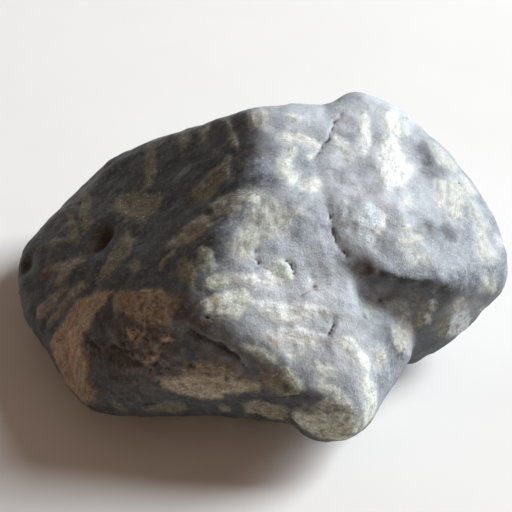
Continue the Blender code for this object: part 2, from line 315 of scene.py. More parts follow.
# Pits: picture place, radius, depth, and how rusty they are.
PITS = {
    "oval pit": ((98, 248), 2.3, 0.4, 1.0),
    "oval pit top": ((106, 236), 2.3, 0.4, 1.0),
    "oval pit foot": ((92, 250), 1.9, 0.1, 1.0),
    "oval pit left": ((95, 240), 2.2, 0.2, 1.0),
    "hollow on the tablet": ((226, 379), 0.8, 0.4, 0.4),
    "left end pit": ((27, 264), 1.6, 0.5, 0.8),
    "eye": ((315, 287), 0.8, 0.25, 0.3),
    "on the tip": ((287, 413), 0.6, 0.5, 0.1),
    # The pits under the lip and in the recess are shallow, and their dark cores are painted shade.
    "under the lip": ((404, 281), 2.4, 0.4, 0.0),
    "under the lip right": ((424, 285), 1.7, 0.2, 0.0),
    "end of the lip": ((443, 289), 2.0, 0.3, 0.0),
    "under the lip left": ((383, 276), 1.8, 0.3, 0.0),
    "recess spot": ((380, 300), 0.9, 0.2, 0.1),
    "rust in the recess": ((370, 270), 1.6, 0.1, 0.35),
    "crack mouth": ((341, 114), 0.5, 0.3, 0.0),
    "wedge pit": ((123, 313), 0.6, 0.4, 0.5),
}

# Broken, rough places: picture place, reach and strength.
ROUGH = {
    "rough patch": ((140, 350), 8.0, 0.85),
    "under the ridge": ((215, 345), 5.0, 0.24),
    "left of the pits": ((95, 350), 4.0, 0.5),
    "hollow on the front": ((275, 385), 4.0, 0.24),
    "wall": ((400, 300), 6.0, 0.2),
}
CREVICE_STRETCH = (0.7, 1.2, 1.5)
CREVICE_SIZE = 2.6
CREVICE_SEED = 21.0
CREVICE_WIDTH = 0.13
CREVICE_DEPTH = 0.45
CREVICES_FROM = 0.25  # how rough a place is where its crevices begin

# Shallow dents: picture place, reach and depth. Those below 0 are fuller places.
DENTS = {
    "crest by the recess": ((364, 294), 2.6, 1.0),
    "crest below it": ((371, 308), 2.2, 0.6),
    "fullness on the lobe": ((362, 209), 3.2, -0.5),
    "fullness by the seam": ((331, 198), 3.2, -0.15),
    "left shoulder": ((113, 167), 5.0, -1.1),
    "right end": ((494, 292), 4.0, -1.1),
    "fullness below the patch": ((373, 197), 2.8, -0.2),
    "crest by the seam": ((352, 273), 2.0, 0.4),
    "recess channel": ((394, 313), 1.1, 0.5),
    "seed pit": ((402, 326), 0.7, 0.3),
    "nose pit": ((346, 418), 0.6, 0.3),
    "cream pit right": ((240, 307), 0.5, 0.3),
    "cream pit": ((222, 311), 0.5, 0.3),
    "beside the eye": ((312, 278), 0.6, 0.3),
    "dent left of it": ((427, 229), 1.3, 0.3),
    "lobe dent below": ((445, 233), 1.5, 0.4),
    "lobe dent": ((426, 160), 1.5, 0.4),
}

# Stains: picture place, reach and strength.
STAINS = {
    "orange spot": ((46, 271), 1.8, 1.0),
    "orange flank": ((72, 372), 5.0, 0.6),
    "orange flank top": ((76, 345), 4.0, 0.4),
    "yellow foot": ((88, 391), 2.5, 0.8),
    "rough patch": ((150, 345), 9.0, 0.35),
    "ridge side": ((198, 318), 6.0, 0.35),
    "under the ridge": ((225, 350), 4.0, 0.35),
    "stained bar": ((183, 238), 3.0, 0.45),
    "twin bar end": ((198, 192), 2.5, 0.6),
    "olive end": ((184, 268), 2.5, 0.6),
    "long tablet top": ((214, 368), 3.0, 0.5),
    "long tablet end": ((248, 386), 2.5, 0.5),
    "wall": ((422, 310), 2.5, 0.15),
    "lower wall": ((442, 338), 2.0, 0.2),
    "tip": ((350, 428), 2.5, 0.3),
    "hollow": ((272, 378), 3.5, 0.4),
    "wedge": ((140, 302), 5.0, 0.2),
    "wedge edge": ((168, 318), 3.0, 0.4),
}

# Faces turned this way, towards the window, have the matrix painted paler with sheen, from none at the first
# lean to fully at the second.
PALE_WAY = (0.75, 0.25, 0.61)
PALE_LEAN = (0.02, 0.64)
PALE_PASSES = 45  # how often each point's lean is averaged with its neighbours'

# Where the matrix is painted paler still, mostly painted sheen and light, in places its own paler patches:
# picture place, reach and strength.
PALLOR_AND_SHEEN = {
    "nose": ((322, 298), 7.5, 1.0),
    "nose foot": ((346, 350), 7.0, 0.9),
    "nose left": ((284, 303), 9.0, 0.95),
    "between the creams": ((261, 308), 3.0, 1.0),
    "by the long cream": ((300, 333), 6.5, 1.0),
    "beside the patch": ((372, 152), 4.0, 0.9),
    "crest of the recess": ((382, 291), 2.6, 0.3),
    "under the cluster": ((252, 252), 4.0, 0.8),
    "by the short crack": ((343, 320), 4.5, 0.9),
    "right wall": ((464, 312), 6.0, 0.5),
    "recess wall": ((400, 308), 4.5, 0.2),
    "under the lump": ((305, 255), 5.0, 0.45),
    "flank, high": ((288, 140), 6.0, 0.6),
    "flank top": ((312, 114), 6.5, 0.9),
    "rim of the flank": ((276, 108), 3.5, 0.7),
    "beside the crack": ((350, 116), 7.0, 1.0),
    "lobe brow": ((350, 190), 8.0, 1.0),
    "brow by the crack": ((340, 158), 5.0, 1.0),
    "below the patch": ((376, 200), 5.0, 1.0),
    "lobe greenish": ((362, 232), 6.0, 0.8),
    "lobe patch": ((392, 160), 5.0, 0.9),
    "lobe middle": ((415, 200), 8.0, 0.3),
    "flank beside the hook": ((288, 192), 3.0, 0.55),
    "flank above the arc": ((295, 127), 3.0, 0.8),
    "tail of the cream": ((316, 312), 4.0, 1.0),
    "lobe foot": ((425, 255), 4.0, 0.2),
    "rim": ((396, 114), 6.0, 1.0),
    "rim above": ((374, 100), 4.5, 0.9),
    "rim of the groove": ((215, 346), 2.0, 0.22),
    "rim of the groove, middle": ((230, 354), 2.0, 0.25),
    "rim of the groove, end": ((242, 365), 1.8, 0.3),
}

# Where the matrix is painted darker than its face, mostly painted shade where the shape turns from the
# light, in places its own dark streaks: picture place, reach and strength.
SHADE_AND_STREAKS = {
    "band on the lobe": ((432, 231), 2.2, 0.7),
    "band on the lobe, right": ((450, 233), 2.4, 0.8),
    "rim streak": ((424, 150), 2.6, 0.9),
    "rim streak, lower": ((430, 167), 2.4, 0.7),
    "rim streak above": ((406, 117), 1.5, 0.8),
    "rim streak below": ((444, 170), 1.4, 0.5),
    "nose crest": ((358, 292), 3.0, 0.4),
    "nose right": ((392, 342), 5.0, 0.7),
    "nose right, low": ((402, 352), 3.0, 0.5),
    "lobe right": ((440, 196), 8.0, 0.25),
    "left of the big cream": ((206, 288), 4.2, 0.9),
    "below the dash": ((298, 366), 3.2, 0.5),
    "by the pink lath": ((282, 347), 3.0, 0.4),
    "below the big cream": ((240, 326), 3.2, 0.7),
    "ridge side, low": ((218, 252), 3.0, 0.6),
    "below the haze": ((378, 241), 4.2, 0.8),
    "behind the ridge": ((263, 144), 4.2, 0.95),
    "flank, middle": ((302, 226), 7.0, 0.42),
    "ridge, high": ((258, 182), 3.4, 0.5),
    "flank by the seam": ((320, 203), 4.2, 0.4),
    "flank by the crack": ((322, 131), 3.0, 0.35),
    "by the eye": ((322, 291), 2.4, 0.4),
    "seam foot": ((342, 270), 2.8, 0.9),
    "nose side": ((364, 324), 5.0, 0.6),
    "band on the lobe, left": ((420, 230), 2.4, 0.5),
    "lobe, far right": ((464, 211), 3.5, 0.4),
    "ridge side": ((236, 200), 3.5, 0.4),
    "lobe edge": ((432, 172), 3.0, 0.4),
    "foot of the nose": ((270, 360), 4.0, 0.5),
}

# Waves of the surface: size, seed, height, and how much crystals and rough places add to the height.
WAVES = (
    (5.5, 9.0, 0.26, 0.0, 0.0),
    (3.0, 13.0, 0.23, 0.0, 0.12),
    (1.6, 0.0, 0.07, 0.09, 0.34),
    (0.9, 5.0, 0.03, 0.06, 0.16),
)
CRYSTAL_EDGE = (-0.15, 0.35)  # from outside to inside a crystal, where its surface steps up
CRYSTAL_RISE = 0.10
SEAM_DEPTH = 0.06  # the fine groove round a crystal
SEAM_WIDTH = 0.3
GROUNDED = 0.05  # points lower than this rest on the table and stay flat

# Colours of the ground: dark, and painted paler with sheen where faces turn to the window (the pale ones,
# the pallor and sheen, the halo and the pale specks). Then the rust on it, and the dirt and painted shade in
# its cracks and pits.
DARK_GROUND = ((0.023, 0.028, 0.035), (0.054, 0.065, 0.076))
DARK_MOTTLE = (0.13, 0.125, 0.11)
BROKEN_GROUND = ((0.080, 0.062, 0.054), (0.200, 0.148, 0.122))
PALE_GROUND = ((0.134, 0.155, 0.183), (0.230, 0.259, 0.297))
PALE_LIGHT = (0.34, 0.365, 0.40)
PALE_GRAIN = (0.40, 0.43, 0.47)
PALE_SHADE = (0.10, 0.112, 0.135)
PALLOR_AND_SHEEN_GROUND = (0.62, 0.665, 0.715)
HALO = (0.50, 0.53, 0.545)
SPECKS = ((0.22, 0.20, 0.15), (0.62, 0.64, 0.62))
RUST = ((0.085, 0.045, 0.024), (0.27, 0.15, 0.075))
DIRT_AND_CRACK_SHADE = (0.022, 0.019, 0.016)

# What a crystal's own tint is multiplied by, and the colour of its painted glints.
FIBRE_STRETCH = (3.2, 1.0, 1.0)
FIBRE_SHADE = (0.45, 0.45, 0.44)
FIBRE_LIGHT = (1.35, 1.33, 1.25)
GRAIN_SHADE = (0.45, 0.45, 0.43)
STREAK_LIGHT = (1.2, 1.2, 1.2)
BROWNED = (0.80, 0.66, 0.50)
MOTTLE_SHADE = (0.50, 0.51, 0.50)
PAINTED_GLINT = (0.95, 0.95, 0.91)

PAPER = ((0.865, 0.862, 0.858), (0.88, 0.878, 0.875))
TABLE_HALF = 3.0  # in metres, as are the window's lengths

WINDOW_WAY = (0.795, 0.345, 0.50)
WINDOW_AWAY = 2.0
WINDOW_SIZE = (0.90, 1.40)
WINDOW_POWER = 74.5
WINDOW_COLOUR = (0.93, 0.975, 1.005)

# The room is warm in front and to the left, and cooler behind.
WARM_WAY = (-0.45, -0.89, 0.0)
WARM_SPAN = (-0.7, 0.9)
WARM_WALL = (1.25, 0.775, 0.505)
COOL_WALL = (0.86, 0.74, 0.66)
ROOM_STRENGTH = 0.178

# Places of the sockets that Blender's mix node uses for numbers and for colours.
MIX_NUMBERS = (2, 3)
MIX_COLOURS = (6, 7)
MIXED_NUMBER = 0
MIXED_COLOUR = 2


def numbers(collection, field, width, kind=np.float64):
    """A field of a mesh's vertices or edges, one row each."""
    values = np.empty(len(collection) * width, kind)
    collection.foreach_get(field, values)
    return values.reshape(-1, width)


def fine_copy(node):
    """A new mesh: the CAD mesh, welded and remeshed finely."""
    shape = bmesh.new()
    shape.from_mesh(node.data)
    bmesh.ops.remove_doubles(shape, verts=shape.verts, dist=WELD * MM)
    mesh = bpy.data.meshes.new("stone_skin")
    shape.to_mesh(mesh)
    shape.free()
    coarse = bpy.data.objects.new("coarse", mesh)
    bpy.context.scene.collection.objects.link(coarse)
    remesh = coarse.modifiers.new("fine", "REMESH")
    remesh.mode = "VOXEL"
    remesh.voxel_size = VOXEL * MM
    graph = bpy.context.evaluated_depsgraph_get()
    fine = bpy.data.meshes.new_from_object(coarse.evaluated_get(graph))
    bpy.data.objects.remove(coarse)
    return fine


def places_in(text):
    """Picture places from text such as "249,113 262,108"."""
    return [tuple(int(part) for part in place.split(",")) for place in text.split()]


def neighbours_mean(points, ends, count):
    sums = [np.bincount(ends[:, 0], points[ends[:, 1], axis], len(points)) for axis in range(3)]
    return np.stack(sums, 1) / count


class Skin:
    """The fine mesh of the stone, smoothed, with its points in mm."""

    def __init__(self, mesh):
        self.mesh = mesh
        self.points = numbers(mesh.vertices, "co", 3) / MM
        edges = numbers(mesh.edges, "vertices", 2, np.int32)
        self.ends = np.concatenate([edges, edges[:, ::-1]])
        self.count = np.bincount(self.ends[:, 0], minlength=len(self.points))[:, None]
        for _ in range(SMOOTHING_PASSES):
            step = neighbours_mean(self.points, self.ends, self.count) - self.points
            self.points += SMOOTHING_SHARE * step
        self.points[:, 2] = np.maximum(self.points[:, 2], 0.0)
        self.measure()

    def measure(self):
        """Writes the points to the mesh and reads its normals."""
        self.mesh.vertices.foreach_set("co", (self.points * MM).ravel())
        self.mesh.update()
        self.normals = numbers(self.mesh.vertices, "normal", 3)

    def spread(self, values, passes):
        """Values averaged with their neighbours'."""
        for _ in range(passes):
            sums = np.bincount(self.ends[:, 0], values[self.ends[:, 1]], len(values))
            values = 0.5 * values + 0.5 * sums / self.count[:, 0]
        return values

    def write(self, name, kind, field, values):
        """Keeps values of the points as an attribute that the material reads."""
        attribute = self.mesh.attributes.new(name, kind, "POINT")
        attribute.data.foreach_set(field, values.astype(np.float32).ravel())


class Picture:
    """Finds where a picture place lies on the stone."""

    def __init__(self, skin):
        self.points = skin.points
        faces = [face.vertices[:] for face in skin.mesh.polygons]
        self.tree = BVHTree.FromPolygons([Vector(point) for point in skin.points], faces)

    def place(self, pixel):
        across = (pixel[0] - PICTURE / 2) / FOCAL
        down = (pixel[1] - PICTURE / 2) / FOCAL
        ray = (RIGHT * across - UP * down - TOWARD).normalized()
        point, normal, _, _ = self.tree.ray_cast(EYE, ray)
        return point, normal

    def place_near(self, pixel, middle):
        """As place, but a pixel just off the stone is drawn in towards the middle."""
        for share in np.linspace(0.0, 0.9, 10):
            point, normal = self.place(np.array(pixel) * (1 - share) + np.array(middle) * share)
            if point is not None:
                return point, normal
        raise ValueError(f"no stone near picture place {pixel}")

    def line(self, pixels):
        """Places along a broken line of the picture, two pixels apart or less."""
        points = []
        for start, end in zip(pixels[:-1], pixels[1:]):
            steps = max(1, round(math.dist(start, end) / 2))
            for step in range(steps):
                share = step / steps
                point, _ = self.place([a + (b - a) * share for a, b in zip(start, end)])
                if point is not None:
                    points.append(point)
        point, _ = self.place(pixels[-1])
        if point is not None:
            points.append(point)
        return np.array(points)

    def distance(self, pixel):
        """How far each point of the skin is from a picture place."""
        point, _ = self.place_near(pixel, (PICTURE / 2, PICTURE / 2))
        return np.linalg.norm(self.points - np.array(point), axis=1)

    def fading(self, places):
        """For each place in turn, its strength at each point of the skin, fading over its reach."""
        for pixel, reach, strength in places.values():
            yield strength * np.exp(-((self.distance(pixel) / reach) ** 2))

    def strongest(self, places):
        return np.maximum.reduce(list(self.fading(places)))


def wavering(points, layers):
    """Each point's offset by noise, for ragged edges. Left to itself, vector noise starts from the clock."""
    noise.seed_set(WAVER_SEED)
    offset = np.zeros_like(points)
    for size, reach in layers:
        offset += reach * np.array([noise.noise_vector(Vector(point) / size) for point in points])
    return offset


def inside_outline(flat, corners):
    """Signed distance from flat points to a closed outline: above 0 inside it."""
    nearest = np.full(len(flat), np.inf)
    inside = np.zeros(len(flat), bool)
    for start, end in zip(corners, np.roll(corners, -1, axis=0)):
        along = end - start
        share = np.clip((flat - start) @ along / (along @ along), 0.0, 1.0)
        apart = np.linalg.norm(flat - start - share[:, None] * along, axis=1)
        nearest = np.minimum(nearest, apart)
        crosses = (start[1] > flat[:, 1]) != (end[1] > flat[:, 1])
        rise = end[1] - start[1] if end[1] != start[1] else 1e-9
        left = flat[:, 0] < (end[0] - start[0]) * (flat[:, 1] - start[1]) / rise + start[0]
        inside ^= crosses & left
    return np.where(inside, nearest, -nearest)


def plane_axes(normal):
    """Two axes across a normal: one level, and one up the slope or down it."""
    side = Vector(normal).cross(Vector((0.0, 0.0, 1.0)))
    if side.length < 0.1:
        side = Vector((1.0, 0.0, 0.0))
    side.normalize()
    return np.array(side), np.array(Vector(normal).cross(side).normalized())


class Crystals:
    """Keeps, for each point of the skin, how far inside a crystal it is and that crystal's colour."""

    def __init__(self, skin):
        self.points = skin.points + wavering(skin.points, EDGE_RAGGED)
        self.inside = np.full(len(skin.points), NO_CRYSTAL)
        self.colour = np.tile(NO_TINT, (len(skin.points), 1)).astype(float)
        self.lay = skin.points.copy()

    def add(self, corners, normal, colour, depth, weaken=None):
        """Adds a flat tablet. Its lay runs along its length, then its width, then its depth."""
        middle = corners.mean(axis=0)
        reach = np.linalg.norm(corners - middle, axis=1).max() + depth - NO_CRYSTAL
        near = np.where(((self.points - middle) ** 2).sum(axis=1) < reach**2)[0]
        side, upward = plane_axes(normal)
        offset = self.points[near] - middle
        flat = np.stack([offset @ side, offset @ upward], 1)
        outline = np.stack([(corners - middle) @ side, (corners - middle) @ upward], 1)
        height = offset @ np.array(normal)
        inside = np.minimum(inside_outline(flat, outline), depth - np.abs(height))
        if weaken is not None:
            inside -= weaken[near]
        covered = inside > np.minimum(self.inside[near], 0.0)
        self.inside[near] = np.maximum(self.inside[near], inside)
        self.colour[near[covered]] = colour
        _, axes = np.linalg.eigh(np.cov(outline.T))
        lay = np.column_stack([flat @ axes[:, 1], flat @ axes[:, 0], height]) + middle
        self.lay[near[covered]] = lay[covered]

    def add_in_view(self, picture):
        for tint, outline in CRYSTALS.values():
            pixels = places_in(outline)
            middle = np.mean(pixels, axis=0)
            hits = [picture.place_near(pixel, middle) for pixel in pixels]
            _, normal = picture.place_near(middle, middle)
            normal = (sum((hit[1] for hit in hits), Vector()) / len(hits) + normal).normalized()
            corners = np.array([hit[0] for hit in hits])
            self.add(corners, normal, TINTS[tint], CRYSTAL_DEPTH)

    def add_hidden(self, skin):
        facing = skin.normals @ np.array(TOWARD)
        seen = step_up(facing, *SEEN_FACING) * step_up(skin.points[:, 2], *SEEN_HEIGHT)
        chance = random.Random(HIDDEN_SEED)
        for _ in range(HIDDEN_LATHS):
            index = chance.randrange(len(skin.points))
            length = chance.uniform(*HIDDEN_LENGTHS)
            width = length * chance.uniform(*HIDDEN_SLIMNESS) + HIDDEN_LEAST_WIDTH
            turn = chance.uniform(0.0, math.pi)
            lean = chance.uniform(-HIDDEN_LEAN, HIDDEN_LEAN)
            tint = TINTS[chance.choice(HIDDEN_TINTS)]
            shade = chance.uniform(*HIDDEN_SHADES)
            if seen[index] > 0.5 or self.inside[index] > CLEAR_OF_OTHERS:
                continue
            normal = Vector(skin.normals[index])
            side, upward = plane_axes(normal)
            long_way = (side * math.cos(turn) + upward * math.sin(turn)) * length
            short_way = (upward * math.cos(turn) - side * math.sin(turn)) * width
            outline = [(-1.0, -0.7), (0.8 + lean, -1.0), (1.0, 0.6), (-0.7 + lean, 1.0)]
            corners = np.array([skin.points[index] + long_way * a + short_way * b for a, b in outline])
            colour = tuple(part * shade for part in tint)
            self.add(corners, normal, colour, HIDDEN_DEPTH, weaken=KEPT_OUT_OF_VIEW * seen)


def line_distance(points, line):
    """How far each point is from a line, and how far along it as a share."""
    lengths = np.maximum(np.linalg.norm(np.diff(line, axis=0), axis=1), 1e-6)
    behind = np.concatenate([[0.0], np.cumsum(lengths)])
    nearest = np.full(len(points), np.inf)
    travelled = np.zeros(len(points))
    for start, end, length, before in zip(line[:-1], line[1:], lengths, behind[:-1]):
        along = (end - start) / length
        reached = np.clip((points - start) @ along, 0.0, length)
        apart = np.linalg.norm(points - start - reached[:, None] * along, axis=1)
        closer = apart < nearest
        nearest[closer] = apart[closer]
        travelled[closer] = before + reached[closer]
    return nearest, travelled / behind[-1]


def step_up(value, low, high):
    """From 0 at the low value to 1 at the high one, smoothly."""
    share = np.clip((value - low) / (high - low), 0.0, 1.0)
    return share * share * (3.0 - 2.0 * share)


def noise_at(points, size, seed=0.0):
    shift = Vector((seed, seed * 1.7, -seed))
    return np.array([noise.noise(Vector(point) / size + shift) for point in points])


class Marks:
    """How far each point of the skin rises, and how cracked, rusty, bleached, pale and broken it is."""

    def __init__(self, skin, picture):
        self.picture = picture
        self.points = skin.points
        self.ragged = skin.points + wavering(skin.points, CRACK_RAGGED)
        self.rise = np.zeros(len(skin.points))
        self.rust = np.zeros(len(skin.points))
        self.crack = np.full(len(skin.points), CRACK_FAR)
        self.cut_cracks()
        for dent in picture.fading(DENTS):
            self.rise -= dent
        self.sink_pits()
        self.rust = np.maximum(self.rust, picture.strongest(STAINS))
        self.pallor_and_sheen = picture.strongest(PALLOR_AND_SHEEN)
        # Where the sheen is painted: each point's lean towards the window, averaged over its neighbours.
        self.pale = step_up(skin.spread(skin.normals @ np.array(PALE_WAY), PALE_PASSES), *PALE_LEAN)
        # Painted shade, with a few dark streaks, taken off the sheen.
        for shade in picture.fading(SHADE_AND_STREAKS):
            self.pale -= shade
        self.broken = picture.strongest(ROUGH)
        self.open_crevices()

    def cut_cracks(self):
        for half_width, depth, course in CRACKS.values():
            line = self.picture.line(places_in(course))
            near = np.where(((self.points - line.mean(axis=0)) ** 2).sum(axis=1) < CRACK_SEARCH**2)[0]
            apart, share = line_distance(self.ragged[near], line)
            fade = np.sqrt(np.clip(np.minimum(share, 1 - share) / CRACK_ENDS, 0.0, 1.0))
            self.rise[near] -= depth * fade * np.exp(-((apart / half_width) ** 2))
            self.crack[near] = np.minimum(self.crack[near], apart / half_width + 1.0 - fade)

    def sink_pits(self):
        """Hollows the pits out. Their dark core, of dirt and painted shade, shows as a crack's does, and
        reaches farther in a rusty pit.
        """
        for pixel, radius, depth, rusty in PITS.values():
            apart = self.picture.distance(pixel)
            hollow = np.exp(-((apart / radius) ** 2))
            self.rise -= depth * hollow
            dark_core_reach = 0.35 - 0.2 * rusty + (1.0 - 0.35 * rusty) * apart / radius
            self.crack = np.minimum(self.crack, dark_core_reach)
            self.rust = np.maximum(self.rust, rusty * step_up(hollow, 0.15, 0.6))

    def open_crevices(self):
        """Opens crevices where noise is near 0, in the broken places alone."""
        middle_line = np.abs(noise_at(self.ragged * CREVICE_STRETCH, CREVICE_SIZE, CREVICE_SEED))
        apart = middle_line / np.maximum(CREVICE_WIDTH * self.broken, 0.001)
        here = self.broken > CREVICES_FROM
        self.crack[here] = np.minimum(self.crack[here], 0.25 + apart[here])
        self.rise[here] -= (CREVICE_DEPTH * self.broken * np.exp(-(apart**2)))[here]


def build_skin(node):
    """The stone's fine skin, with its crystals and marks raised, cut, and written for the material."""
    skin = Skin(fine_copy(node))
    picture = Picture(skin)
    crystals = Crystals(skin)
    crystals.add_in_view(picture)
    crystals.add_hidden(skin)
    marks = Marks(skin, picture)

    rise = marks.rise
    within = step_up(crystals.inside, *CRYSTAL_EDGE)
    for size, seed, height, in_crystals, in_broken in WAVES:
        heights = height + in_crystals * within + in_broken * marks.broken
        rise += heights * noise_at(skin.points, size, seed)
    rise += CRYSTAL_RISE * within - SEAM_DEPTH * np.exp(-((crystals.inside / SEAM_WIDTH) ** 2))
    rise[skin.points[:, 2] < GROUNDED] = 0.0
    skin.points += skin.normals * rise[:, None]
    skin.points[:, 2] = np.maximum(skin.points[:, 2], 0.0)
    skin.measure()

    skin.write("inside", "FLOAT", "value", crystals.inside)
    for name in ("crack", "rust", "pallor_and_sheen", "pale", "broken"):
        skin.write(name, "FLOAT", "value", getattr(marks, name))
    skin.write("lay", "FLOAT_VECTOR", "vector", crystals.lay * MM)
    opaque = np.ones((len(skin.points), 1))
    skin.write("crystal_colour", "FLOAT_COLOR", "color", np.concatenate([crystals.colour, opaque], axis=1))
    skin.mesh.shade_smooth()
    stone = bpy.data.objects.new("stone_skin", skin.mesh)
    bpy.context.scene.collection.objects.link(stone)
    return stone


class Nodes:
    """Short ways to add shader nodes."""

    def __init__(self, material):
        material.use_nodes = True
        self.tree = material.node_tree
        self.shader = self.tree.nodes["Principled BSDF"]
        self.where = self.tree.nodes.new("ShaderNodeTexCoord").outputs["Object"]

    def link(self, source, target):
        """Joins a socket to the target, or sets the target to a value."""
        if isinstance(source, bpy.types.NodeSocket):
            self.tree.links.new(source, target)
        else:
            target.default_value = source

    def attribute(self, name, output="Fac"):
        node = self.tree.nodes.new("ShaderNodeAttribute")
        node.attribute_name = name
        return node.outputs[output]

    def noise(self, size, detail=3.0, roughness=0.5, distortion=0.0, stretch=(1.0, 1.0, 1.0), where=None):
        """Noise of about this size in mm, from 0 to 1, drawn out by so much along each axis of its place."""
        node = self.tree.nodes.new("ShaderNodeTexNoise")
        squeezed = self.tree.nodes.new("ShaderNodeVectorMath")
        squeezed.operation = "DIVIDE"
        self.link(where or self.where, squeezed.inputs[0])
        squeezed.inputs[1].default_value = stretch
        self.link(squeezed.outputs[0], node.inputs["Vector"])
        node.inputs["Scale"].default_value = 1.0 / (size * MM)
        node.inputs["Detail"].default_value = detail
        node.inputs["Roughness"].default_value = roughness
        node.inputs["Distortion"].default_value = distortion
        return node.outputs["Fac"]

    def spread_noise(self, size, reach):
        """Noise of about this size in mm, about 0 and reaching this far each way at most."""
        return self.math("MULTIPLY_ADD", self.noise(size, 4.0, 0.65), 2.0 * reach, -reach)

    def math(self, operation, first, second, third=0.0):
        node = self.tree.nodes.new("ShaderNodeMath")
        node.operation = operation
        for value, target in zip((first, second, third), node.inputs):
            self.link(value, target)
        return node.outputs[0]

    def plus(self, first, second):
        return self.math("ADD", first, second)

    def times(self, first, second):
        return self.math("MULTIPLY", first, second)

    def ramp(self, value, low, high, bottom=0.0, top=1.0):
        """From the bottom share at the low value to the top share at the high one, smoothly."""
        node = self.tree.nodes.new("ShaderNodeMapRange")
        node.interpolation_type = "SMOOTHSTEP"
        names = ("Value", "From Min", "From Max", "To Min", "To Max")
        for name, source in zip(names, (value, low, high, bottom, top)):
            self.link(source, node.inputs[name])
        return node.outputs["Result"]

    def mix(self, share, first, second, blend="MIX"):
        node = self.tree.nodes.new("ShaderNodeMix")
        node.data_type = "RGBA"
        node.blend_type = blend
        self.link(share, node.inputs[0])
        for source, socket in zip((first, second), MIX_COLOURS):
            self.link((*source, 1.0) if isinstance(source, tuple) else source, node.inputs[socket])
        return node.outputs[MIXED_COLOUR]

    def mix_value(self, share, first, second):
        node = self.tree.nodes.new("ShaderNodeMix")
        self.link(share, node.inputs[0])
        for source, socket in zip((first, second), MIX_NUMBERS):
            self.link(source, node.inputs[socket])
        return node.outputs[MIXED_NUMBER]

    def bump(self, height, distance, strength, below=None):
        node = self.tree.nodes.new("ShaderNodeBump")
        node.inputs["Distance"].default_value = distance * MM
        node.inputs["Strength"].default_value = strength
        self.link(height, node.inputs["Height"])
        if below is not None:
            self.link(below, node.inputs["Normal"])
        return node.outputs["Normal"]


